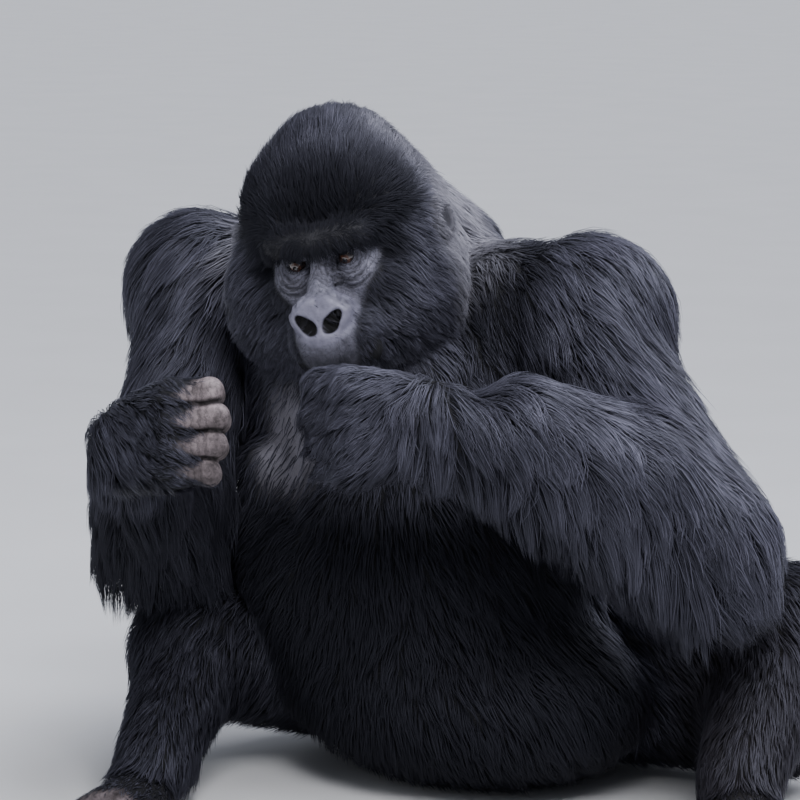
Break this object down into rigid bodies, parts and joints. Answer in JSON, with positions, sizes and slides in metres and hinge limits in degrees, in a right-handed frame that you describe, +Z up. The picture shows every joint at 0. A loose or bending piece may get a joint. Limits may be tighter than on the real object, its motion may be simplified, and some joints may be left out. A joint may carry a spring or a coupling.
{
  "type": "seated gorilla model",
  "caption": "Life-size still model of an adult male gorilla seated on its haunches, knees apart, both fists raised in front of its chest, with a coat of long hair.",
  "frame": {"origin": "on the floor under the pelvis, at the middle of the flat the animal sits on", "axes": "+Z up, the chest faces -Y, the animal's left is +X"},
  "size_m": [1.242, 1.0134, 1.0681],
  "materials": {
    "coat": "long black hair with a cool sheen",
    "silver_coat": "shorter grey-black hair of the nape",
    "face_and_coat": "short black hair round a bare grey-black face",
    "bare_skin": "bare creased grey-black skin",
    "eye": "wet dark brown eye"
  },
  "bodies": {
    "root": {"head": "face_and_coat", "neck": "silver_coat", "trunk": "coat", "ear_left": "bare_skin", "eye_left": "eye", "upper_arm_left": "coat", "forearm_left": "coat", "hand_left": "bare_skin", "thigh_left": "coat", "shank_left": "coat", "foot_left": "bare_skin", "ear_right": "bare_skin", "eye_right": "eye", "upper_arm_right": "coat", "forearm_right": "coat", "hand_right": "bare_skin", "thigh_right": "coat", "shank_right": "coat", "foot_right": "bare_skin"}
  },
  "joints": []
}
